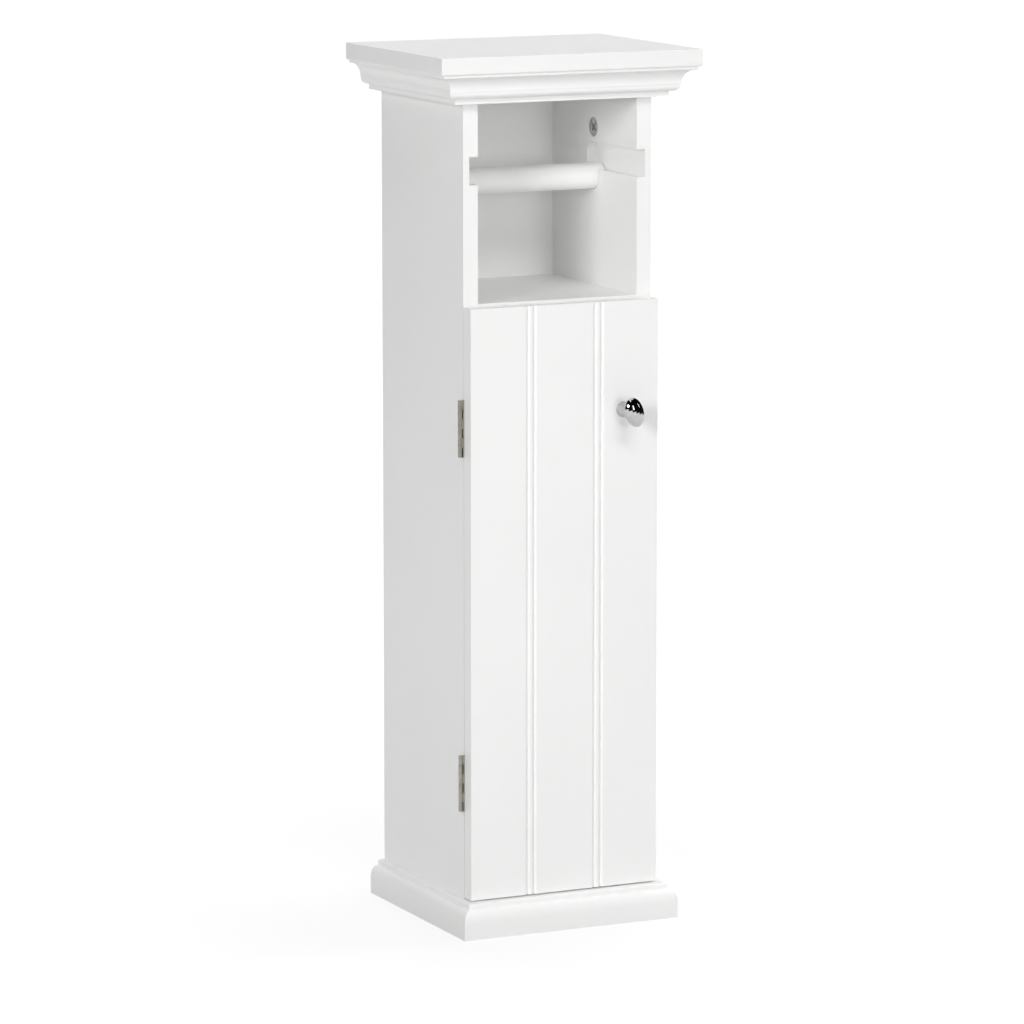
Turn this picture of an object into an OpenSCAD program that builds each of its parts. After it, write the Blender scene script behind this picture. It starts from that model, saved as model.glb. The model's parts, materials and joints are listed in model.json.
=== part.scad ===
// Slim bathroom cabinet for toilet rolls: an open bay with a lift-out roll bar, over a cupboard
// with one door. Millimetres. The origin is on the floor, at the middle of the back face.
// X runs to the right, Y to the back and Z up, so the front of the cabinet faces -Y.

/* [Carcass] */
// Clear width between the side panels
bay_w = 132; // [126:1:170]
// Clear depth in front of the back panel
bay_d = 145; // [135:1:180]
// Clear height of the open bay, from its floor to the lower edge of the crown
bay_h = 150; // [135:1:200]
// Clear height of the cupboard behind the door
cupboard_h = 441; // [360:1:560]
// Thickness of a side panel
side_t = 12; // [12:0.5:18]
// Thickness of the floor of the bay
floor_t = 12; // [12:0.5:18]
// Thickness of the base board
base_t = 12; // [12:0.5:18]
// Thickness of the inner top under the top board
inner_top_t = 18; // [16:0.5:20]
// Thickness of the back panel
back_t = 3; // [3:0.5:5]
// Width of the rabbet that holds each edge of the back panel
rabbet_w = 6; // [5:0.5:8]
// Gap round the back panel in its rabbets
rabbet_gap = 0.25; // [0:0.05:0.5]

/* [Top board and crown] */
// Thickness of the top board
top_t = 13; // [12:0.5:20]
// Radius of the top board's lower edge at its sides and front
top_round = 1.6; // [0.5:0.1:3]
// How far the top board passes the crown at each side
reveal_side = 2.5; // [1:0.5:10]
// How far the top board passes the crown at the front
reveal_front = 2; // [0:0.5:10]
// How far the crown stands out from the side panels
crown_out = 27; // [25.5:0.5:34]
// How far the front crown reaches back past the carcass's front edge at its ends
crown_let_in = 2; // [0.5:0.5:5]
// Height of the crown
crown_h = 23; // [22:0.5:32]
// Height of the straight lip at the top of the crown
lip_h = 1.3; // [1:0.1:2]
// Radius of the lower edge of the lip
lip_r = 1.2; // [0.8:0.1:1.6]
// How far the cove starts inside that edge
lip_step = 0.3; // [0.2:0.1:0.8]
// Width of the cove under the lip
cove_w = 8; // [7:0.1:9.2]
// Height of the cove
cove_h = 10.5; // [8:0.1:12]
// How far the crown's face leans in from the cove to the ovolo
face_lean = 0.5; // [0:0.1:1]
// Width of the ovolo above the crown's fillet
ovolo_w = 4.9; // [4:0.1:5.7]
// Height of the ovolo
ovolo_h = 4.3; // [3:0.1:5]
// Height of the square fillet at the foot of the crown
fillet_h = 4.2; // [3:0.1:5]
// How far that fillet stands out from the carcass
fillet_out = 10.5; // [7:0.5:12]

/* [Plinth] */
// Height of the plinth, to the upper face of the base board
plinth_h = 26; // [24:1:40]
// Thickness of the plinth mouldings
plinth_t = 12; // [11:0.5:16]
// Ledge of the base board in front of the door's face
plinth_ledge = 2; // [1:0.5:5]
// Width of the plinth's ovolo
plinth_ovolo_w = 6; // [4:0.1:7]
// Height of the plinth's ovolo
plinth_ovolo_h = 9.6; // [6:0.1:12]
// How far the fillet above the ovolo is set in from it
plinth_step = 0.5; // [0.3:0.1:1.5]
// Height of that fillet with its rounded top
plinth_fillet_h = 3.9; // [2.5:0.1:5]
// Radius of the top of the fillet
plinth_round = 1.7; // [1:0.1:2.2]
// Thickness of the rear rail under the base board
rear_rail_t = 12; // [10:1:20]

/* [Door] */
// Thickness of the door
door_t = 12; // [12:0.5:15]
// Gap between the closed door and the carcass
door_gap = 1; // [1:0.1:1.4]
// Gap between the door and the base board
door_foot_gap = 1; // [1:0.5:4]
// How much of the bay floor's front edge shows above the door
floor_reveal = 2; // [1:0.5:4]
// Distance from the middle of the door to each bead
bead_x = 28; // [20:1:30]
// Distance between the two quirks of a bead
quirk_pitch = 5.4; // [4.8:0.1:7]
// Depth of a quirk
quirk_depth = 1.6; // [1:0.1:2]
// Radius of the rounded shoulders of a quirk
shoulder_r = 2.2; // [2.1:0.1:2.3]
// Half the width of a quirk at its bottom
quirk_half = 0.28; // [0.2:0.02:0.5]

/* [Hinges] */
// Length of a hinge
hinge_len = 43; // [40:1:60]
// Distance of the upper hinge's middle from the top of the door
hinge_drop = 91; // [60:1:120]
// Distance of the lower hinge's middle from the foot of the door
hinge_rise = 88.5; // [60:0.5:120]
// Number of knuckles
knuckles = 6; // [6:2:8]
// Outer diameter of the knuckles
knuckle_d = 3.2; // [3:0.1:4]
// Diameter of the hinge pin
pin_d = 1.8; // [1.6:0.1:2]
// Running clearance round the pin in the door leaf's knuckles
pin_clear = 0.05; // [0.02:0.01:0.08]
// Distance of the pin's axis from the side of the carcass
pin_out = 3.1; // [2.8:0.1:3.6]
// Thickness of a hinge leaf
leaf_t = 0.85; // [0.7:0.05:1]
// Gap between the two closed leaves
leaf_gap = 0.3; // [0.3:0.05:0.5]
// Gap between neighbouring knuckles
knuckle_gap = 0.45; // [0.2:0.05:0.6]
// How far a leaf reaches over the panel
leaf_reach = 10.5; // [9.5:0.5:11]
// Gap round the knuckles in the leaves' notches
notch_gap = 0.4; // [0.3:0.05:0.6]
// Gap round the end of a leaf in its recess
recess_gap = 0.25; // [0:0.05:0.5]
// Half the distance between a leaf's two screws
leaf_screw_z = 13; // [10:1:15]
// Length of the hinge screws
hinge_screw_len = 10; // [8:1:11]

/* [Knob] */
// Distance of the knob from the free edge of the door
knob_edge = 29.1; // [20:0.1:50]
// Distance of the knob from the top edge of the door
knob_drop = 82.5; // [50:0.5:200]
// Length of the egg-shaped head
knob_len = 23; // [20:0.2:30]
// Diameter of the head across its length
knob_d = 15.2; // [13:0.2:18]
// Distance of the middle of the head from the door's face
knob_out = 19; // [18:0.5:25]
// Distance of the front of the head from that middle
knob_front = 4.8; // [3.5:0.1:6]
// Diameter of the larger egg that the head's flatter front is part of
knob_face_d = 17.2; // [15.2:0.2:20]
// Diameter of the foot of the knob on the door
knob_foot_d = 12; // [11:0.5:16]
// Diameter of the waist of the neck
knob_waist_d = 8.6; // [8:0.1:10]
// Distance of the waist from the door's face
knob_waist_out = 9; // [7:0.5:11]
// Lean of the head's long axis in the plane of the door
knob_lean = 18; // [0:1:90]
// Diameter of the machine screw that holds the knob
knob_screw_d = 4; // [3:0.5:5]
// Depth of that screw in the knob
knob_screw_in = 9; // [6:0.5:12]

/* [Roll bar] */
// Diameter of the bar
bar_d = 20; // [16:0.5:22]
// Gap round the bar in its slots
bar_clear = 0.5; // [0.5:0.1:1]
// Gap under the bar where it lies in its seats
bar_rest_gap = 0.3; // [0.3:0.05:0.45]
// Depth of the slots in the side panels
slot_depth = 7; // [5:0.5:9]
// End play of the bar at each side
bar_play = 0.5; // [0.5:0.1:1]
// Distance of the seats' axis below the crown
bar_drop = 66; // [66:1:78]
// Drop of the seats below the slots
seat_drop = 15.5; // [12:0.5:16]
// Distance of the seats from the front edge of the side panels
seat_in = 74; // [50:1:90]
// Chamfer on the ends of the bar
bar_chamfer = 1; // [0.5:0.1:2]

/* [Cams, bolts and dowels] */
// Diameter of a cam
cam_d = 15; // [12:0.5:16]
// Height of a cam
cam_h = 10; // [9.6:0.1:10.4]
// Distance of a cam from the edge that it draws tight
cam_in = 34; // [24:1:35]
// Distance of the bolts from the face that shows the cams
bolt_in = 6; // [5.9:0.1:6.2]
// Clearance round a cam
cam_clear = 0.1; // [0.05:0.05:0.3]
// Thickness of a cam's face over its chamber
cam_face_t = 2.3; // [2:0.1:2.4]
// Thickness of the wall round a cam's chamber
cam_wall = 2.3; // [1.8:0.1:2.5]
// Width of the cross recess in a cam
cam_cross = 8.5; // [6:0.5:9]
// Width of the raised rim of a cam's face
cam_rim_w = 1.3; // [1:0.1:1.6]
// Height of that rim
cam_rim_h = 0.5; // [0.3:0.1:0.6]
// Width of the notch in the rim that marks the locked place
cam_notch_w = 1.8; // [1.2:0.1:2.4]
// Turn of a locked cam from the line of its bolt
cam_turn = 225; // [180:5:270]
// Diameter of a bolt's collar
collar_d = 6.4; // [6:0.1:6.6]
// Length of that collar
collar_len = 3; // [2:0.5:4]
// Clearance of a bolt in its bore and in the cam's jaws
bolt_clear = 0.25; // [0.1:0.05:0.3]
// Diameter of a bolt's shaft
shaft_d = 3.6; // [3:0.1:4]
// Diameter of a bolt's threaded end
thread_d = 5; // [4:0.1:5.6]
// Length of the threaded end
thread_len = 9; // [7:0.5:10]
// Diameter of the wooden dowels
dowel_d = 6; // [5:0.5:7]
// Depth of a dowel in the face of a board
dowel_face_depth = 8; // [6:0.5:9]
// Depth of a dowel in the edge of a board
dowel_edge_depth = 12; // [10:1:20]
// Distance of the dowels from the front and back edges of the carcass
dowel_inset = 26; // [24:1:40]
// Clearance at the ends of bolts and dowels in their holes
end_clear = 0.5; // [0.3:0.1:1]

/* [Screws and nails] */
// Diameter of the wood screws
screw_d = 3; // [2.5:0.1:3.5]
// Diameter of a screw head
screw_head_d = 5.6; // [5:0.1:6]
// Height of a countersunk head
head_h = 1.6; // [1.4:0.1:2]
// Diameter of the screws that hold the top board
top_screw_d = 4; // [3.5:0.1:4.5]
// Depth of those screws in the top board
top_screw_in = 8; // [6:0.5:10]
// Distance of those screws from the sides and the ends of the inner top
top_screw_inset = 28; // [24:1:40]
// Diameter of the back panel's nails
nail_d = 1.4; // [1.2:0.1:1.8]
// Diameter of a nail's head
nail_head_d = 4; // [3:0.2:4.6]
// Depth of a nail in the side panel
nail_in = 14; // [10:1:20]
// Number of nails at each side of the back panel
nail_count = 6; // [4:1:8]

/* [Magnetic catch] */
// Width of the catch housing, out from the side panel
catch_w = 13; // [12:0.5:16]
// Depth of the catch housing, front to back
catch_d = 14; // [13:0.5:20]
// Height of the catch housing without its ears
catch_len = 24; // [22:1:40]
// Length of each ear
ear_len = 9; // [8:0.5:12]
// Thickness of the ears
ear_t = 3; // [2:0.5:4]
// Drop of the catch's middle below the bay floor
catch_drop = 40; // [30:1:80]
// Width of the magnet
magnet_w = 5; // [4:0.5:6]
// Thickness of a pole plate
pole_t = 1.2; // [1:0.1:1.5]
// Wall of the housing round the magnet
catch_wall = 2; // [1.5:0.1:2.5]
// Gap between the poles and the strike plate when the door is shut
catch_gap = 0.4; // [0.3:0.05:0.5]
// Length of the catch screws in the side panel
catch_screw_len = 8; // [6:0.5:10]
// Thickness of the strike plate
strike_t = 0.8; // [0.6:0.1:1]
// Margin of the strike plate inside the catch's width, at each side
strike_margin = 0.5; // [0.5:0.1:2]
// Length of the strike plate's screw
strike_screw_len = 9; // [7:0.5:10]
// Thickness of the pan heads in the catch and behind the knob
pan_h = 2.2; // [2:0.1:2.6]

/* [Hidden] */
$fn = 48;

// Colours
paint = [0.94, 0.94, 0.93];
nickel = [0.72, 0.70, 0.64];
chrome = [0.80, 0.81, 0.82];
zinc = [0.66, 0.67, 0.68];
beech = [0.82, 0.66, 0.45];
housing_white = [0.96, 0.96, 0.95];
magnet_grey = [0.24, 0.24, 0.25];

// Widths and depths, from the origin
bay_half = bay_w / 2;
body_half = bay_half + side_t;
carcass_front = -(bay_d + back_t);
door_back = carcass_front - door_gap;
door_front = door_back - door_t;
base_front = door_front - plinth_ledge;
top_half = body_half + crown_out + reveal_side;
crown_back = carcass_front + crown_let_in;
top_front = crown_back - crown_out - reveal_front;

// Heights, from the floor
base_top = plinth_h;
base_foot = plinth_h - base_t;
floor_foot = base_top + cupboard_h;
floor_top = floor_foot + floor_t;
crown_foot = floor_top + bay_h;
top_foot = crown_foot + crown_h;
inner_top_foot = top_foot - inner_top_t;
overall_h = top_foot + top_t;
door_foot = base_top + door_foot_gap;
door_head = floor_top - floor_reveal;

// Places of the fittings
cam_y = carcass_front + seat_in;
dowel_ys = [carcass_front + dowel_inset, -dowel_inset];
hinge_upper_z = door_head - hinge_drop;
hinge_lower_z = door_foot + hinge_rise;
pin_x = -(body_half + pin_out);
pin_y = carcass_front - door_gap / 2;
leaf_screw_x = -(body_half - leaf_reach / 2);
knob_x = body_half - knob_edge;
knob_z = door_head - knob_drop;
catch_z = floor_foot - catch_drop;
catch_x = bay_half - catch_w / 2;
bar_seat_z = crown_foot - bar_drop;
slot_r = bar_d / 2 + bar_clear;
slot_z = bar_seat_z + seat_drop;
bar_len = bay_w + 2 * (slot_depth - bar_play);
bar_z = bar_seat_z - bar_clear + bar_rest_gap;

// Sizes of the fittings that follow from others
knuckle_pitch = (hinge_len + knuckle_gap) / knuckles;
leaf_end = pin_out + leaf_reach;
catch_front = door_back + strike_t + catch_gap;
catch_face = catch_front + pole_t / 2;
strike_w = catch_w - 2 * strike_margin;
strike_h = catch_len - 2 * catch_wall;
magnet_stack = magnet_w + 2 * pole_t;

// A short overlap that keeps a cut from ending level with a face
cut = 0.5;
// A cross recess against the screw head that it is cut in
cross_width = 0.6;
cross_depth = 0.65;
cross_slimness = 5;
// Points along the outline of the knob
knob_steps = 24;

// Points of an arc round a centre, from one angle to another
function arc(centre, r, from, to, steps = 10) =
    elliptic_arc(centre, r, r, from, to, steps);

// The same on an ellipse with the given half width and half height
function elliptic_arc(centre, rx, ry, from, to, steps = 12) =
    [for (i = [0:steps])
        let (a = from + (to - from) * i / steps)
            centre + [rx * cos(a), ry * sin(a)]];

// Turns a shape's +Z to face +X, -X, +Y or -Y
module to_right() rotate([0, 90, 0]) children();
module to_left() rotate([0, -90, 0]) children();
module to_back() rotate([-90, 0, 0]) children();
module to_front() rotate([90, 0, 0]) children();

// A box given by its lowest and highest corners
module block(low, high) translate(low) cube(high - low);

// The shape on the right and its mirror image on the left
module both_sides() {
    children();
    mirror([1, 0, 0]) children();
}

// ---- Mouldings ----

// A moulding's section has +X outwards and +Y upwards. These runs lay it along the front, with
// +X to the front, and along the left side, with +X to the left
module front_run(length) rotate([90, 0, -90]) linear_extrude(length, center = true) children();

module left_run(front) {
    translate([0, front, 0]) rotate([90, 0, 180]) linear_extrude(-front) children();
}

// Removes one side of the mitre at a front left corner, up to a reach from it
module mitre_cut(corner, reach, z_low, z_high, off) {
    translate([corner[0], corner[1], 0])
        rotate([0, 0, 45])
            translate([0, off == "side" ? reach : -reach, (z_low + z_high) / 2])
                cube([4 * reach, 2 * reach, z_high - z_low + 2 * cut], center = true);
}

// ---- Screws, nails, bolts and dowels ----

// Screws and nails point along +Z from the face that the head lies on
module countersunk_shape(d, length, head_d = screw_head_d) {
    rotate_extrude()
        polygon([[0, 0], [head_d / 2, 0], [d / 2, head_h], [d / 2, length - d], [0, length]]);
}

module countersunk_hole(d, length, head_d = screw_head_d) {
    countersunk_shape(d, length, head_d);
    translate([0, 0, -cut]) cylinder(d = head_d, h = cut);
}

module cross_recess(size, depth) {
    for (a = [0, 90])
        rotate([0, 0, a])
            translate([-size / 2, -size / cross_slimness / 2, -cut])
                cube([size, size / cross_slimness, depth + cut]);
}

module countersunk_screw(d, length, head_d = screw_head_d) {
    difference() {
        countersunk_shape(d, length, head_d);
        cross_recess(head_d * cross_width, head_h * cross_depth);
    }
}

module pan_screw(d, length, head_d) {
    difference() {
        rotate_extrude()
            polygon(concat(
                [[0, length], [0, -pan_h]],
                arc([(head_d - pan_h) / 2, -pan_h / 2], pan_h / 2, -90, 0, 6),
                [[head_d / 2, 0], [d / 2, 0], [d / 2, length - d / 2]]
            ));
        translate([0, 0, -pan_h]) cross_recess(head_d * cross_width, pan_h * cross_depth);
    }
}

// Each joint of the carcass has its origin on the axis of its bolt or dowel, in the plane where
// the two boards meet. +Z runs into the board with the cam and +X to the face that shows it
module panel_joints(z, up, inward, ys) {
    for (s = [-1, 1], y = ys)
        translate([s * (bay_half + inward), y, z])
            rotate([up ? 0 : 180, 0, s < 0 ? 0 : 180])
                children();
}

module top_joints(inward, ys) panel_joints(inner_top_foot, false, inward, ys) children();

module base_joints(inward, ys) panel_joints(base_top, true, inward, ys) children();

module floor_joints(upward, ys) {
    for (s = [-1, 1], y = ys)
        translate([s * bay_half, y, floor_foot + upward])
            rotate([0, 0, s < 0 ? 0 : 180])
                rotate([0, 90, 0])
                    children();
}

module bolt() {
    rotate_extrude()
        polygon([
            [0, -thread_len], [thread_d / 2, -thread_len], [thread_d / 2, 0], [shaft_d / 2, 0],
            [shaft_d / 2, cam_in - collar_len / 2], [collar_d / 2, cam_in - collar_len / 2],
            [collar_d / 2, cam_in + collar_len / 2], [0, cam_in + collar_len / 2]
        ]);
}

module thread_hole() {
    translate([0, 0, -thread_len - end_clear])
        cylinder(d = thread_d, h = thread_len + end_clear + cut);
}

module bolt_bore() {
    translate([0, 0, -cut])
        cylinder(d = collar_d + 2 * bolt_clear, h = cam_in + cut);
}

// The cam's axis crosses the bolt's axis, and its bottom rests in the pocket
module on_cam_axis(out) translate([out, 0, cam_in]) to_left() children();

module cam_pocket() {
    on_cam_axis(bolt_in + cut) cylinder(d = cam_d + 2 * cam_clear, h = cam_h + cut);
}

module cam_and_bore() {
    cam_pocket();
    bolt_bore();
}

// The cross recess in the face of a cam, a shallow groove beside it and the notch in its rim
module cam_marks() {
    out = -cam_rim_h - cut;
    half = cam_notch_w / 2;
    groove_depth = cam_rim_h;
    cross_recess(cam_cross, (cam_face_t - cam_rim_h) * cross_depth);
    block([cam_cross / 2, -half, out], [cam_d, half, groove_depth / 2]);
    rotate([0, 0, -90])
        block([0, -half, out], [cam_d / 2 - cam_rim_w, 0, groove_depth]);
}

module cam() {
    shaft_half = shaft_d / 2 + bolt_clear;
    collar_half = collar_d / 2 + bolt_clear;
    difference() {
        on_cam_axis(bolt_in) cylinder(d = cam_d, h = cam_h);
        on_cam_axis(bolt_in - cam_face_t) cylinder(d = cam_d - 2 * cam_wall, h = cam_h);
        block([-cam_h, -shaft_half, cam_in - cam_d], [shaft_half, shaft_half, cam_in]);
        block([-cam_h, -collar_half, cam_in], [collar_half, collar_half, cam_in + cam_d]);
        on_cam_axis(bolt_in + cut) cylinder(d = cam_d - 2 * cam_rim_w, h = cam_rim_h + cut);
        on_cam_axis(bolt_in - cam_rim_h) rotate([0, 0, cam_turn]) cam_marks();
    }
}

module dowel() {
    bevel = dowel_d / 10;
    low = end_clear - dowel_face_depth;
    high = dowel_edge_depth - end_clear;
    rotate_extrude()
        polygon([
            [0, low], [dowel_d / 2 - bevel, low], [dowel_d / 2, low + bevel],
            [dowel_d / 2, high - bevel], [dowel_d / 2 - bevel, high], [0, high]
        ]);
}

module dowel_hole_in_face() {
    translate([0, 0, -dowel_face_depth])
        cylinder(d = dowel_d, h = dowel_face_depth + cut);
}

module dowel_hole_in_edge() {
    translate([0, 0, -cut])
        cylinder(d = dowel_d, h = dowel_edge_depth + cut);
}

module at_top_screws() {
    for (x = [-1, 1] * (body_half - top_screw_inset), y = [carcass_front, 0])
        translate([x, y + (y < 0 ? 1 : -1) * top_screw_inset, inner_top_foot])
            children();
}

module at_nails() {
    step = (inner_top_foot - base_top) / nail_count;
    for (s = [-1, 1], i = [0:nail_count - 1])
        translate([s * (bay_half + rabbet_w / 2), 0, base_top + step * (i + 0.5)])
            to_front()
                children();
}

// ---- Top, crown and carcass ----

// What a rounded lower edge leaves off, with the edge at the origin and the board on its left
module lower_edge_waste(r) {
    polygon(concat([[cut, -cut], [cut, r]], arc([-r, r], r, 0, -90), [[-r, -cut]]));
}

module top_board() {
    color(paint)
        difference() {
            block([-top_half, top_front, top_foot], [top_half, 0, overall_h]);
            translate([0, top_front, top_foot])
                front_run(2 * (top_half + cut))
                    lower_edge_waste(top_round);
            both_sides()
                translate([-top_half, cut, top_foot])
                    left_run(top_front - 2 * cut)
                        lower_edge_waste(top_round);
            at_top_screws() countersunk_hole(top_screw_d, inner_top_t + top_screw_in);
        }
}

module inner_top() {
    color(paint)
        difference() {
            block([-body_half, carcass_front, inner_top_foot], [body_half, 0, top_foot]);
            at_top_screws() countersunk_hole(top_screw_d, inner_top_t + top_screw_in);
            top_joints(bolt_in, [cam_y]) thread_hole();
            top_joints(side_t / 2, dowel_ys) dowel_hole_in_face();
        }
}

module crown_section() {
    lip_in = crown_out - lip_r;
    cove_in = lip_in - lip_step;
    cove_foot = lip_h + lip_r + cove_h;
    ovolo_in = cove_in - cove_w - face_lean - ovolo_w;
    fillet_head = crown_h - fillet_h;
    translate([0, top_foot])
        polygon(concat(
            [[0, 0], [crown_out, 0]],
            arc([lip_in, -lip_h], lip_r, 0, -90, 6),
            elliptic_arc([cove_in, -cove_foot], cove_w, cove_h, 90, 180),
            elliptic_arc([ovolo_in, ovolo_h - fillet_head], ovolo_w, ovolo_h, 0, -90),
            [[fillet_out, -fillet_head], [fillet_out, -crown_h], [0, -crown_h]]
        ));
}

module crown_mitre(off) {
    mitre_cut([-body_half, crown_back], crown_out, crown_foot, top_foot, off);
}

module crown_front() {
    color(paint)
        difference() {
            translate([0, crown_back, 0])
                front_run(2 * (body_half + crown_out))
                    crown_section();
            block([-body_half, carcass_front, crown_foot - cut], [body_half, 0, top_foot + cut]);
            both_sides() crown_mitre("side");
        }
}

module crown_left() {
    color(paint)
        difference() {
            translate([-body_half, 0, 0])
                left_run(crown_back - crown_out)
                    crown_section();
            crown_mitre("front");
        }
}

module crown_right() {
    mirror([1, 0, 0]) crown_left();
}

// The open-ended slot of the roll bar, with the seat at its far end
module bar_slot() {
    slot_front = carcass_front - cut;
    x_low = bay_half - cut;
    x_high = bay_half + slot_depth;
    block([x_low, slot_front, slot_z - slot_r], [x_high, cam_y, slot_z + slot_r]);
    block([x_low, cam_y - slot_r, bar_seat_z], [x_high, cam_y + slot_r, slot_z]);
    for (z = [bar_seat_z, slot_z])
        translate([x_low, cam_y, z])
            to_right()
                cylinder(r = slot_r, h = x_high - x_low);
}

module side_panel() {
    difference() {
        block([bay_half, carcass_front, base_top], [body_half, 0, inner_top_foot]);
        block(
            [bay_half - cut, -back_t, base_top - cut],
            [bay_half + rabbet_w, cut, inner_top_foot + cut]
        );
        bar_slot();
        top_joints(bolt_in, [cam_y]) cam_and_bore();
        base_joints(bolt_in, [cam_y]) cam_and_bore();
        floor_joints(bolt_in, [cam_y]) thread_hole();
        top_joints(side_t / 2, dowel_ys) dowel_hole_in_edge();
        base_joints(side_t / 2, dowel_ys) dowel_hole_in_edge();
        floor_joints(floor_t / 2, dowel_ys) dowel_hole_in_face();
        at_nails() countersunk_hole(nail_d, back_t + nail_in, nail_head_d);
    }
}

module side_panel_left() {
    color(paint)
        difference() {
            mirror([1, 0, 0]) side_panel();
            hinge_recesses();
            at_leaf_screws(1) countersunk_hole(screw_d, hinge_screw_len);
        }
}

module side_panel_right() {
    color(paint)
        difference() {
            side_panel();
            at_catch_screws()
                translate([0, 0, -cut])
                    cylinder(d = screw_d, h = catch_screw_len + cut);
        }
}

module back_panel() {
    half = bay_half + rabbet_w - rabbet_gap;
    color(paint)
        difference() {
            block(
                [-half, -back_t, base_top + rabbet_gap],
                [half, 0, inner_top_foot - rabbet_gap]
            );
            at_nails() countersunk_hole(nail_d, back_t + nail_in, nail_head_d);
        }
}

module bay_floor() {
    color(paint)
        difference() {
            block([-bay_half, carcass_front, floor_foot], [bay_half, -back_t, floor_top]);
            floor_joints(bolt_in, [cam_y]) cam_and_bore();
            floor_joints(floor_t / 2, dowel_ys) dowel_hole_in_edge();
        }
}

module base_board() {
    color(paint)
        difference() {
            block([-body_half, base_front, base_foot], [body_half, 0, base_top]);
            base_joints(bolt_in, [cam_y]) thread_hole();
            base_joints(side_t / 2, dowel_ys) dowel_hole_in_face();
        }
}

// ---- Plinth ----

module plinth_section() {
    ovolo_in = plinth_t - plinth_ovolo_w;
    ovolo_head = plinth_h - plinth_fillet_h;
    fillet_face = ovolo_in - plinth_step;
    polygon(concat(
        [[0, 0], [plinth_t, 0]],
        elliptic_arc([ovolo_in, ovolo_head - plinth_ovolo_h], plinth_ovolo_w, plinth_ovolo_h, 0, 90),
        [[fillet_face, ovolo_head]],
        arc([fillet_face - plinth_round, plinth_h - plinth_round], plinth_round, 0, 90, 6),
        [[0, plinth_h]]
    ));
}

module plinth_mitre(off) {
    mitre_cut([-body_half, base_front], plinth_t, 0, plinth_h, off);
}

module plinth_front() {
    color(paint)
        difference() {
            translate([0, base_front, 0])
                front_run(2 * (body_half + plinth_t))
                    plinth_section();
            both_sides() plinth_mitre("side");
        }
}

module plinth_left() {
    color(paint)
        difference() {
            translate([-body_half, 0, 0])
                left_run(base_front - plinth_t)
                    plinth_section();
            plinth_mitre("front");
        }
}

module plinth_right() {
    mirror([1, 0, 0]) plinth_left();
}

module plinth_rear_rail() {
    color(paint) block([-body_half, -rear_rail_t, 0], [body_half, 0, base_foot]);
}

// ---- Door ----

// A quirk's section has its mouth on the X axis and +Y out of the door
module quirk_section() {
    shoulder = asin(1 - quirk_depth / shoulder_r);
    centre = quirk_half + shoulder_r * cos(shoulder);
    polygon(concat(
        arc([-centre, -shoulder_r], shoulder_r, 90, shoulder, 8),
        arc([centre, -shoulder_r], shoulder_r, 180 - shoulder, 90, 8),
        [[centre, cut], [-centre, cut]]
    ));
}

module door_section() {
    difference() {
        translate([-body_half, door_front]) square([2 * body_half, door_t]);
        for (x = [-bead_x, bead_x], s = [-1, 1])
            translate([x + s * quirk_pitch / 2, door_front])
                mirror([0, 1])
                    quirk_section();
    }
}

module door_panel() {
    color(paint)
        difference() {
            translate([0, 0, door_foot]) linear_extrude(door_head - door_foot) door_section();
            hinge_recesses();
            at_leaf_screws(-1) countersunk_hole(screw_d, hinge_screw_len);
            at_knob_screw()
                translate([0, 0, -cut])
                    cylinder(d = knob_screw_d + 2 * bolt_clear, h = door_t + 2 * cut);
            at_strike_screw() countersunk_hole(screw_d, strike_screw_len);
        }
}

// ---- Hinges ----

// A hinge has its pin's axis at the origin, its middle at z = 0 and its leaves along +X. The
// case leaf lies behind the axis and has every second knuckle, from the lowest up

module at_hinge(z) translate([pin_x, pin_y, z]) children();

module at_both_hinges() {
    at_hinge(hinge_upper_z) children();
    at_hinge(hinge_lower_z) children();
}

module at_knuckles(first) {
    for (i = [first:2:knuckles - 1])
        translate([0, 0, i * knuckle_pitch - hinge_len / 2])
            children();
}

module hinge_leaf(first, bore_d) {
    knuckle_len = knuckle_pitch - knuckle_gap;
    y_low = leaf_gap / 2;
    y_high = y_low + leaf_t;
    plate_x = knuckle_d / 2 + notch_gap;
    difference() {
        union() {
            block([plate_x, y_low, -hinge_len / 2], [leaf_end, y_high, hinge_len / 2]);
            at_knuckles(first) {
                cylinder(d = knuckle_d, h = knuckle_len);
                block([0, y_low, 0], [plate_x + cut, y_high, knuckle_len]);
            }
        }
        translate([0, 0, -hinge_len]) cylinder(d = bore_d, h = 2 * hinge_len);
        for (z = [-leaf_screw_z, leaf_screw_z])
            translate([leaf_screw_x - pin_x, y_low, z])
                to_back()
                    countersunk_hole(screw_d, hinge_screw_len);
    }
}

module case_leaf() {
    color(nickel) hinge_leaf(0, pin_d);
}

module door_leaf() {
    color(nickel)
        mirror([0, 1, 0])
            hinge_leaf(1, pin_d + 2 * pin_clear);
}

module hinge_pin() {
    end = pin_d / 6;
    half = hinge_len / 2;
    color(nickel)
        rotate_extrude()
            polygon([
                [0, -half], [pin_d / 2 - end, -half], [pin_d / 2, end - half],
                [pin_d / 2, half - end], [pin_d / 2 - end, half], [0, half]
            ]);
}

module hinge_upper_case_leaf() at_hinge(hinge_upper_z) case_leaf();

module hinge_upper_door_leaf() at_hinge(hinge_upper_z) door_leaf();

module hinge_upper_pin() at_hinge(hinge_upper_z) hinge_pin();

module hinge_lower_case_leaf() at_hinge(hinge_lower_z) case_leaf();

module hinge_lower_door_leaf() at_hinge(hinge_lower_z) door_leaf();

module hinge_lower_pin() at_hinge(hinge_lower_z) hinge_pin();

// The recess for both closed leaves, let into the panel and the door
module hinge_recesses() {
    depth = leaf_gap / 2 + leaf_t;
    half = hinge_len / 2 + recess_gap;
    at_both_hinges()
        block([0, -depth, -half], [leaf_end + recess_gap, depth, half]);
}

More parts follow.
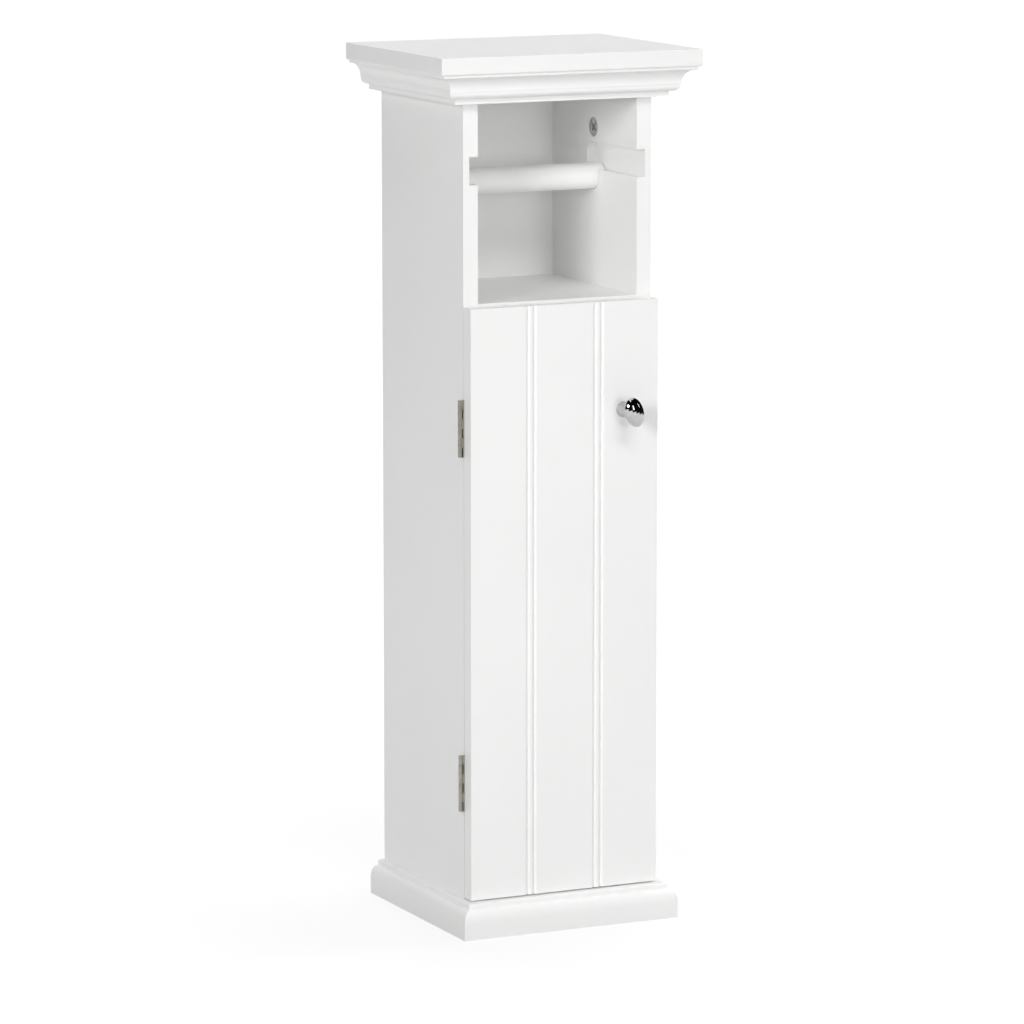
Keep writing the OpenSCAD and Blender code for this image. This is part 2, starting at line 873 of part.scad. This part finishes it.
module at_leaf_screws(side) {
    at_both_hinges()
        for (z = [-leaf_screw_z, leaf_screw_z])
            translate([leaf_screw_x - pin_x, side * leaf_gap / 2, z])
                rotate([-90 * side, 0, 0])
                    children();
}

module hinge_case_screws() {
    color(nickel) at_leaf_screws(1) countersunk_screw(screw_d, hinge_screw_len);
}

module hinge_door_screws() {
    color(nickel) at_leaf_screws(-1) countersunk_screw(screw_d, hinge_screw_len);
}

// ---- Knob ----

module at_knob_screw() translate([knob_x, door_back, knob_z]) to_front() children();

// The neck's radius follows a parabola from the foot through the waist to the head
function neck_r(out) =
    knob_waist_d / 2
    + (knob_foot_d - knob_waist_d) / 2 * pow((out - knob_waist_out) / knob_waist_out, 2);

module knob_neck() {
    end = knob_out - knob_d / 4;
    rotate_extrude()
        polygon(concat(
            [[0, 0]],
            [for (i = [0:knob_steps]) let (out = end * i / knob_steps) [neck_r(out), out]],
            [[0, end]]
        ));
}

module egg(d, length) {
    rotate_extrude()
        polygon([for (i = [0:knob_steps])
            let (a = -90 + 180 * i / knob_steps)
                [d / 2 * cos(a), length / 2 * sin(a)]]);
}

// The head is what two eggs of one shape share. The larger one is set back
module knob_head() {
    intersection() {
        egg(knob_d, knob_len);
        translate([0, knob_face_d / 2 - knob_front, 0])
            egg(knob_face_d, knob_len * knob_face_d / knob_d);
    }
}

module knob() {
    color(chrome)
        translate([knob_x, door_front, knob_z])
            difference() {
                union() {
                    to_front() knob_neck();
                    translate([0, -knob_out, 0]) rotate([0, -knob_lean, 0]) knob_head();
                }
                to_front()
                    translate([0, 0, -cut])
                        cylinder(d = knob_screw_d, h = knob_screw_in + cut);
            }
}

module knob_screw() {
    color(zinc)
        at_knob_screw()
            pan_screw(knob_screw_d, door_t + knob_screw_in, 2 * knob_screw_d);
}

// ---- Magnetic catch and strike plate ----

module at_catch_screws() {
    for (s = [-1, 1])
        translate([bay_half, catch_face + catch_d / 2, catch_z + s * (catch_len + ear_len) / 2])
            to_right()
                children();
}

module catch_pocket(y_front) {
    half = catch_len / 2 - catch_wall;
    block(
        [catch_x - magnet_stack / 2, y_front, catch_z - half],
        [catch_x + magnet_stack / 2, catch_face + catch_d - catch_wall, catch_z + half]
    );
}

module catch_housing() {
    ear_half = catch_len / 2 + ear_len;
    color(housing_white)
        difference() {
            union() {
                block(
                    [bay_half - catch_w, catch_face, catch_z - catch_len / 2],
                    [bay_half, catch_face + catch_d, catch_z + catch_len / 2]
                );
                block(
                    [bay_half - ear_t, catch_face, catch_z - ear_half],
                    [bay_half, catch_face + catch_d, catch_z + ear_half]
                );
            }
            catch_pocket(catch_face - cut);
            at_catch_screws()
                translate([0, 0, -catch_w])
                    cylinder(d = screw_d, h = 2 * catch_w);
        }
}

module catch_magnet() {
    color(magnet_grey)
        intersection() {
            catch_pocket(catch_face + pole_t);
            translate([catch_x - magnet_w / 2, -bay_d, 0]) cube([magnet_w, bay_d, overall_h]);
        }
}

module catch_pole_plates() {
    color(zinc)
        difference() {
            catch_pocket(catch_front);
            translate([catch_x - magnet_w / 2, -2 * bay_d, 0])
                cube([magnet_w, 2 * bay_d, overall_h]);
        }
}

module catch_screws() {
    color(zinc)
        at_catch_screws()
            translate([0, 0, -ear_t])
                pan_screw(screw_d, catch_screw_len + ear_t, screw_head_d);
}

module at_strike_screw() {
    translate([catch_x, door_back + strike_t, catch_z]) to_front() children();
}

module strike_plate() {
    color(zinc)
        difference() {
            block(
                [catch_x - strike_w / 2, door_back, catch_z - strike_h / 2],
                [catch_x + strike_w / 2, door_back + strike_t, catch_z + strike_h / 2]
            );
            at_strike_screw() countersunk_hole(screw_d, strike_screw_len);
        }
}

module strike_screw() {
    color(zinc) at_strike_screw() countersunk_screw(screw_d, strike_screw_len);
}

// ---- Roll bar ----

module roll_bar() {
    r = bar_d / 2;
    half = bar_len / 2;
    color(paint)
        translate([0, cam_y, bar_z])
            to_right()
                rotate_extrude()
                    polygon([
                        [0, -half], [r - bar_chamfer, -half], [r, bar_chamfer - half],
                        [r, half - bar_chamfer], [r - bar_chamfer, half], [0, half]
                    ]);
}

// ---- Loose fittings ----

module cams_top() color(zinc) top_joints(bolt_in, [cam_y]) cam();

module cams_floor() color(zinc) floor_joints(bolt_in, [cam_y]) cam();

module cams_base() color(zinc) base_joints(bolt_in, [cam_y]) cam();

module cam_bolts_top() color(zinc) top_joints(bolt_in, [cam_y]) bolt();

module cam_bolts_floor() color(zinc) floor_joints(bolt_in, [cam_y]) bolt();

module cam_bolts_base() color(zinc) base_joints(bolt_in, [cam_y]) bolt();

module dowels_top() color(beech) top_joints(side_t / 2, dowel_ys) dowel();

module dowels_floor() color(beech) floor_joints(floor_t / 2, dowel_ys) dowel();

module dowels_base() color(beech) base_joints(side_t / 2, dowel_ys) dowel();

module top_board_screws() {
    color(zinc)
        at_top_screws() countersunk_screw(top_screw_d, inner_top_t + top_screw_in);
}

module back_panel_nails() {
    color(zinc) at_nails() countersunk_shape(nail_d, back_t + nail_in, nail_head_d);
}

top_board();
inner_top();
crown_front();
crown_left();
crown_right();
side_panel_left();
side_panel_right();
back_panel();
bay_floor();
base_board();
plinth_front();
plinth_left();
plinth_right();
plinth_rear_rail();
door_panel();
hinge_upper_case_leaf();
hinge_upper_door_leaf();
hinge_upper_pin();
hinge_lower_case_leaf();
hinge_lower_door_leaf();
hinge_lower_pin();
hinge_case_screws();
hinge_door_screws();
knob();
knob_screw();
catch_housing();
catch_magnet();
catch_pole_plates();
catch_screws();
strike_plate();
strike_screw();
roll_bar();
cams_top();
cams_floor();
cams_base();
cam_bolts_top();
cam_bolts_floor();
cam_bolts_base();
dowels_top();
dowels_floor();
dowels_base();
top_board_screws();
back_panel_nails();
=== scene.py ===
"""A slim white bathroom cabinet for toilet rolls, in a white studio.

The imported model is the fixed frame. This script gives every piece its finish, eases the edges of
the painted boards, and sets the floor, the light and the camera. Lengths are in metres.
"""

import json
import math

import bpy
from mathutils import Matrix, Vector


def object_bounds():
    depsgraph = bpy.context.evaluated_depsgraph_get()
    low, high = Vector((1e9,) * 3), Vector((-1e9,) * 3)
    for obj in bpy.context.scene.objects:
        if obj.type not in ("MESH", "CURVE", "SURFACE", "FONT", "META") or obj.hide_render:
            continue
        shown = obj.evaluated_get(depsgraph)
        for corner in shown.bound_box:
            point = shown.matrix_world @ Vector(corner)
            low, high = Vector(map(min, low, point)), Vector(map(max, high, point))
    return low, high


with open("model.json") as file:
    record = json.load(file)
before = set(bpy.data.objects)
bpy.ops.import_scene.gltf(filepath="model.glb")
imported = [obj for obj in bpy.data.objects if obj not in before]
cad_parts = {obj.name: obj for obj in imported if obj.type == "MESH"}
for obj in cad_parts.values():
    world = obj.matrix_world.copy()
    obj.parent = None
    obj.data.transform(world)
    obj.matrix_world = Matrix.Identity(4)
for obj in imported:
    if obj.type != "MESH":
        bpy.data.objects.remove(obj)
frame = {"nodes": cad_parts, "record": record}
cad_low, cad_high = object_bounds()
nodes = frame["nodes"]

MM = 0.001

# The camera, at the place the photograph was taken from; lens and sensor are in mm
CAMERA_PLACE = Vector((-1.7361, -3.7244, 0.9741))
CAMERA_YAW = math.radians(25.40)
CAMERA_DIP = math.radians(9.38)
CAMERA_LENS = 187.6
CAMERA_SENSOR = 36.0
CAMERA_NEAREST = 0.1
CAMERA_FARTHEST = 60.0

# The bevels on the sharp edges of the painted wood, in metres and degrees
EASE_SEGMENTS = 2
BOARD_EASE = 0.45 * MM
BOARD_ANGLE = 30
MOULDING_EASE = 0.25 * MM
MOULDING_ANGLE = 40

# The world's light on surfaces. The camera and reflections see the same white world at 1.
AMBIENT = 0.2

FLOOR_SIZE = 40
FLOOR_TONE = 0.55
# The camera and reflections see a mix: this share of the floor's glow, and its lit surface for
# the rest. The glow is lower close to the cabinet, so that the cabinet's shadow shows there.
SEEN_SHARE = 0.6
REFLECTED_SHARE = 0.42
FLOOR_GLOW_NEAR = 1.29
FLOOR_GLOW_FAR = 1.65
# The glow rises from near to far between these distances from the frame's origin
GLOW_START, GLOW_END = 0.2, 1.5

WALL_RADIUS = 3.6
WALL_HEIGHT = 6.5
WALL_COLOUR = (0.012, 0.012, 0.013)

# Softboxes: azimuth and elevation in degrees, distance, size, level, and seen in reflections
SOFTBOXES = {
    "key": (-56, 17, 3.0, (0.85, 0.85), 0.415, True),
    "front_fill": (3, 8, 3.0, (0.7, 0.7), 0.145, False),
    "front_lamp": (-2, 14, 3.0, (0.6, 0.75), 0.04, True),
    "high_fill": (2, 42, 2.8, (1.4, 0.6), 0.18, False),
    "high_front": (-18, 50, 2.6, (0.3, 0.3), 0.035, True),
    "overhead": (140, 76, 2.8, (1.5, 1.5), 0.49, False),
    "right_fill": (88, 20, 3.0, (0.5, 1.1), 0.27, False),
    "right_strip": (66, 24, 3.0, (0.1, 0.7), 0.015, True),
    "back_fill": (178, 16, 3.0, (1.6, 1.2), 0.24, False),
}


# ---- Node helpers ----

def new_material(name):
    """A node material with only a Principled shader and its output."""
    material = bpy.data.materials.new(name)
    material.use_nodes = True
    return material, material.node_tree, material.node_tree.nodes["Principled BSDF"]


def add_node(tree, kind, **inputs):
    """A shader node with its unlinked inputs set. Underscores in a name stand for spaces."""
    node = tree.nodes.new(kind)
    for name, value in inputs.items():
        node.inputs[name.replace("_", " ")].default_value = value
    return node


def calculate(tree, operation, *values):
    """A Math node of sockets and plain numbers."""
    node = tree.nodes.new("ShaderNodeMath")
    node.operation = operation
    for value, socket in zip(values, node.inputs):
        if isinstance(value, float):
            socket.default_value = value
        else:
            tree.links.new(value, socket)
    return node.outputs["Value"]


def object_place(tree):
    """A point in the object's own frame, in metres, so that a pattern stays on its piece."""
    return tree.nodes.new("ShaderNodeTexCoord").outputs["Object"]


def noise(tree, place, scale, detail, roughness=0.5, distortion=0.0, stretch=(1, 1, 1)):
    """Noise of so many features a metre, with some axes stretched."""
    mapping = add_node(tree, "ShaderNodeMapping", Scale=stretch)
    tree.links.new(place, mapping.inputs["Vector"])
    node = add_node(tree, "ShaderNodeTexNoise", Scale=scale, Detail=detail,
                    Roughness=roughness, Distortion=distortion)
    tree.links.new(mapping.outputs["Vector"], node.inputs["Vector"])
    return node.outputs["Fac"]


def remap(tree, value, low, high, from_low=0.3, from_high=0.7):
    """Maps a value to a range and stops at its ends. Noise stays mostly between 0.3 and 0.7."""
    node = add_node(tree, "ShaderNodeMapRange", From_Min=from_low, From_Max=from_high,
                    To_Min=low, To_Max=high)
    tree.links.new(value, node.inputs["Value"])
    return node.outputs["Result"]


def ramp(tree, value, *stops):
    """A colour ramp with (place, colour) stops."""
    node = tree.nodes.new("ShaderNodeValToRGB")
    elements = node.color_ramp.elements
    while len(elements) < len(stops):
        elements.new(0.5)
    for element, (place, colour) in zip(elements, stops):
        element.position = place
        element.color = (*colour, 1)
    tree.links.new(value, node.inputs["Fac"])
    return node.outputs["Color"]


def bump(tree, height, depth, below=None):
    """A bump of that depth in metres, over another bump."""
    node = add_node(tree, "ShaderNodeBump", Strength=1.0, Distance=depth)
    tree.links.new(height, node.inputs["Height"])
    if below:
        tree.links.new(below, node.inputs["Normal"])
    return node.outputs["Normal"]


# ---- Materials ----

def satin_paint(name, colour, grain_depth=0.0):
    """Sprayed satin paint: a fine orange peel, faint waves, uneven gloss, and wood grain if any."""
    material, tree, shader = new_material(name)
    place = object_place(tree)
    cloud = noise(tree, place, scale=9, detail=3)
    shade = [c * 0.985 for c in colour]
    tint = ramp(tree, cloud, (0.35, shade), (0.65, colour))
    tree.links.new(tint, shader.inputs["Base Color"])
    mottle = noise(tree, place, scale=160, detail=4, roughness=0.6)
    tree.links.new(remap(tree, mottle, low=0.36, high=0.46), shader.inputs["Roughness"])
    peel = noise(tree, place, scale=900, detail=2)
    normal = bump(tree, peel, depth=0.018 * MM)
    wave = noise(tree, place, scale=70, detail=1)
    normal = bump(tree, wave, depth=0.05 * MM, below=normal)
    if grain_depth:
        grain = noise(tree, place, scale=420, detail=5, roughness=0.65, stretch=(0.04, 1, 1))
        normal = bump(tree, grain, depth=grain_depth, below=normal)
    tree.links.new(normal, shader.inputs["Normal"])
    shader.inputs["Specular IOR Level"].default_value = 0.42
    return material


def bare_wood(name, light, dark):
    """Unpainted beech: growth lines along the dowel."""
    material, tree, shader = new_material(name)
    place = object_place(tree)
    lines = noise(tree, place, scale=700, detail=6, roughness=0.6, distortion=0.6,
                  stretch=(1, 1, 0.06))
    tree.links.new(ramp(tree, lines, (0.35, dark), (0.62, light)), shader.inputs["Base Color"])
    tree.links.new(remap(tree, lines, low=0.7, high=0.55), shader.inputs["Roughness"])
    tree.links.new(bump(tree, lines, depth=0.03 * MM), shader.inputs["Normal"])
    return material


def plated_metal(name, colour, roughness, brush=(1, 1, 1), scale=1500, depth=0.004 * MM):
    """Plated steel: brushed or rolled lines, uneven gloss and a little tarnish."""
    material, tree, shader = new_material(name)
    place = object_place(tree)
    shader.inputs["Metallic"].default_value = 1.0
    lines = noise(tree, place, scale, detail=3, roughness=0.6, stretch=brush)
    blotch = noise(tree, place, scale=260, detail=3)
    dull = [c * 0.82 for c in colour]
    tree.links.new(ramp(tree, blotch, (0.36, dull), (0.6, colour)), shader.inputs["Base Color"])
    low, high = roughness
    tree.links.new(remap(tree, lines, low, high), shader.inputs["Roughness"])
    tree.links.new(bump(tree, lines, depth), shader.inputs["Normal"])
    return material


def polished_chrome(name):
    """Chrome plate: nearly a mirror, with faint wiping marks."""
    material, tree, shader = new_material(name)
    place = object_place(tree)
    shader.inputs["Metallic"].default_value = 1.0
    smear = noise(tree, place, scale=220, detail=4, roughness=0.6, distortion=0.8)
    tree.links.new(ramp(tree, smear, (0.4, (0.53, 0.54, 0.54)), (0.6, (0.57, 0.575, 0.57))),
                   shader.inputs["Base Color"])
    tree.links.new(remap(tree, smear, low=0.025, high=0.06), shader.inputs["Roughness"])
    return material


def moulded_plastic(name, colour, roughness, grain):
    """Moulded plastic or pressed ferrite with a fine grain."""
    material, tree, shader = new_material(name)
    place = object_place(tree)
    speck = noise(tree, place, scale=grain, detail=4, roughness=0.7)
    shade = [c * 0.93 for c in colour]
    tree.links.new(ramp(tree, speck, (0.35, shade), (0.6, colour)), shader.inputs["Base Color"])
    tree.links.new(remap(tree, speck, roughness - 0.06, roughness + 0.06),
                   shader.inputs["Roughness"])
    tree.links.new(bump(tree, speck, depth=0.01 * MM), shader.inputs["Normal"])
    return material


WHITE = (0.96, 0.963, 0.955)
MATERIALS = {
    "white_paint": satin_paint("white_paint", WHITE),
    "satin_nickel": plated_metal("satin_nickel", (0.42, 0.40, 0.355), roughness=(0.15, 0.28),
                                 brush=(1, 1, 0.12)),
    "chrome": polished_chrome("chrome"),
    "zinc_plate": plated_metal("zinc_plate", (0.62, 0.64, 0.655), roughness=(0.3, 0.48),
                               scale=2200, depth=0.01 * MM),
    "beech": bare_wood("beech", (0.70, 0.48, 0.27), (0.52, 0.32, 0.16)),
    "catch_plastic": moulded_plastic("catch_plastic", (0.86, 0.86, 0.84), roughness=0.42,
                                     grain=1400),
    "magnet": moulded_plastic("magnet", (0.06, 0.06, 0.065), roughness=0.55, grain=1800),
}
PAINTED_WOOD = satin_paint("painted_wood", WHITE, grain_depth=0.03 * MM)


def dress(node, material):
    """Gives a piece its one material."""
    slots = nodes[node].data.materials
    slots.clear()
    slots.append(material)


for part in frame["record"]["subparts"]:
    dress(part["node"], MATERIALS[part["material_slot"]])
# The bar is painted like the rest, but its wood grain shows through
dress("roll_bar", PAINTED_WOOD)


# ---- Eased edges ----

def ease_edges(node, width, angle):
    """Breaks the edges of a piece that are sharper than the angle, as paint and sanding do."""
    bevel = nodes[node].modifiers.new("eased edges", "BEVEL")
    bevel.width = width
    bevel.segments = EASE_SEGMENTS
    bevel.limit_method = "ANGLE"
    bevel.angle_limit = math.radians(angle)


for board in ("top_board", "side_panel_left", "side_panel_right", "door_panel", "bay_floor",
              "base_board", "inner_top"):
    ease_edges(board, BOARD_EASE, BOARD_ANGLE)
for moulding in ("crown_front", "crown_left", "crown_right",
                 "plinth_front", "plinth_left", "plinth_right"):
    ease_edges(moulding, MOULDING_EASE, MOULDING_ANGLE)


# ---- Studio ----

def studio_world():
    """White to the camera and in reflections, and soft light on everything else."""
    world = bpy.data.worlds.new("studio")
    bpy.context.scene.world = world
    world.use_nodes = True
    tree = world.node_tree
    rays = tree.nodes.new("ShaderNodeLightPath").outputs
    seen = calculate(tree, "MAXIMUM", rays["Is Camera Ray"], rays["Is Glossy Ray"])
    passed = calculate(tree, "MAXIMUM", seen, rays["Is Transmission Ray"])
    level = add_node(tree, "ShaderNodeMapRange", To_Min=AMBIENT, To_Max=1.0)
    tree.links.new(passed, level.inputs["Value"])
    background = tree.nodes["Background"]
    background.inputs["Color"].default_value = (1, 1, 1, 1)
    tree.links.new(level.outputs["Result"], background.inputs["Strength"])


def studio_floor():
    """A white floor that keeps a faint shadow at the foot of the cabinet."""
    bpy.ops.mesh.primitive_plane_add(size=FLOOR_SIZE, location=(0, 0, 0))
    floor = bpy.context.object
    floor.name = "studio_floor"
    material, tree, shader = new_material("studio_floor")
    shader.inputs["Base Color"].default_value = (FLOOR_TONE, FLOOR_TONE, FLOOR_TONE, 1)
    shader.inputs["Roughness"].default_value = 0.9
    shader.inputs["Specular IOR Level"].default_value = 0.0
    rays = tree.nodes.new("ShaderNodeLightPath").outputs
    seen = calculate(tree, "MULTIPLY", rays["Is Camera Ray"], SEEN_SHARE)
    reflected = calculate(tree, "MULTIPLY", rays["Is Glossy Ray"], REFLECTED_SHARE)
    away = tree.nodes.new("ShaderNodeVectorMath")
    away.operation = "LENGTH"
    tree.links.new(object_place(tree), away.inputs[0])
    glow = add_node(tree, "ShaderNodeEmission", Color=(1, 1, 1, 1))
    level = remap(tree, away.outputs["Value"], FLOOR_GLOW_NEAR, FLOOR_GLOW_FAR,
                  from_low=GLOW_START, from_high=GLOW_END)
    tree.links.new(level, glow.inputs["Strength"])
    mix = tree.nodes.new("ShaderNodeMixShader")
    tree.links.new(calculate(tree, "MAXIMUM", seen, reflected), mix.inputs["Fac"])
    tree.links.new(shader.outputs["BSDF"], mix.inputs[1])
    tree.links.new(glow.outputs["Emission"], mix.inputs[2])
    tree.links.new(mix.outputs["Shader"], tree.nodes["Material Output"].inputs["Surface"])
    floor.data.materials.append(material)


def dark_walls():
    """The dark studio round the set. Only reflections see it, so that metal has contrast."""
    bpy.ops.mesh.primitive_cylinder_add(
        vertices=96, radius=WALL_RADIUS, depth=WALL_HEIGHT, end_fill_type="NOTHING",
        location=(0, 0, WALL_HEIGHT / 2))
    walls = bpy.context.object
    walls.name = "studio_walls"
    material, tree, shader = new_material("studio_walls")
    shader.inputs["Base Color"].default_value = (*WALL_COLOUR, 1)
    shader.inputs["Roughness"].default_value = 1.0
    shader.inputs["Specular IOR Level"].default_value = 0.0
    walls.data.materials.append(material)
    walls.visible_camera = walls.visible_diffuse = walls.visible_shadow = False
    walls.visible_transmission = walls.visible_volume_scatter = False


def softbox(name, azimuth, elevation, distance, size, level, reflected):
    """An area lamp that looks at the middle of the cabinet.

    Azimuth 0 is in front and 90 to the right. Level is the light on a surface that faces the lamp,
    as a share of the light under which a colour renders as written. Only a reflected lamp shows in
    polished metal.
    """
    around, above = math.radians(azimuth), math.radians(elevation)
    target = (cad_low + cad_high) / 2
    place = target + distance * Vector((
        math.sin(around) * math.cos(above),
        -math.cos(around) * math.cos(above),
        math.sin(above),
    ))
    lamp = bpy.data.lights.new(name, "AREA")
    lamp.shape = "RECTANGLE"
    lamp.size, lamp.size_y = size
    # A white surface that faces a lamp of power P gets the radiance P / (pi * distance) ** 2
    lamp.energy = level * (math.pi * distance) ** 2
    piece = bpy.data.objects.new(name, lamp)
    bpy.context.scene.collection.objects.link(piece)
    piece.location = place
    piece.rotation_mode = "QUATERNION"
    piece.rotation_quaternion = (target - place).to_track_quat("-Z", "Y")
    piece.visible_glossy = reflected


def photo_camera():
    """The camera looks along its yaw, dipped below the horizon, with no shift."""
    lens = bpy.data.cameras.new("camera")
    lens.lens = CAMERA_LENS
    lens.sensor_width = CAMERA_SENSOR
    lens.clip_start = CAMERA_NEAREST
    lens.clip_end = CAMERA_FARTHEST
    piece = bpy.data.objects.new("camera", lens)
    bpy.context.scene.collection.objects.link(piece)
    ahead = Vector((
        math.sin(CAMERA_YAW) * math.cos(CAMERA_DIP),
        math.cos(CAMERA_YAW) * math.cos(CAMERA_DIP),
        -math.sin(CAMERA_DIP),
    ))
    turn = ahead.to_track_quat("-Z", "Y").to_matrix().to_4x4()
    piece.matrix_world = Matrix.Translation(CAMERA_PLACE) @ turn
    bpy.context.scene.camera = piece


studio_world()
studio_floor()
dark_walls()
for name, setting in SOFTBOXES.items():
    softbox(name, *setting)
photo_camera()

bpy.context.scene.view_settings.view_transform = "Standard"
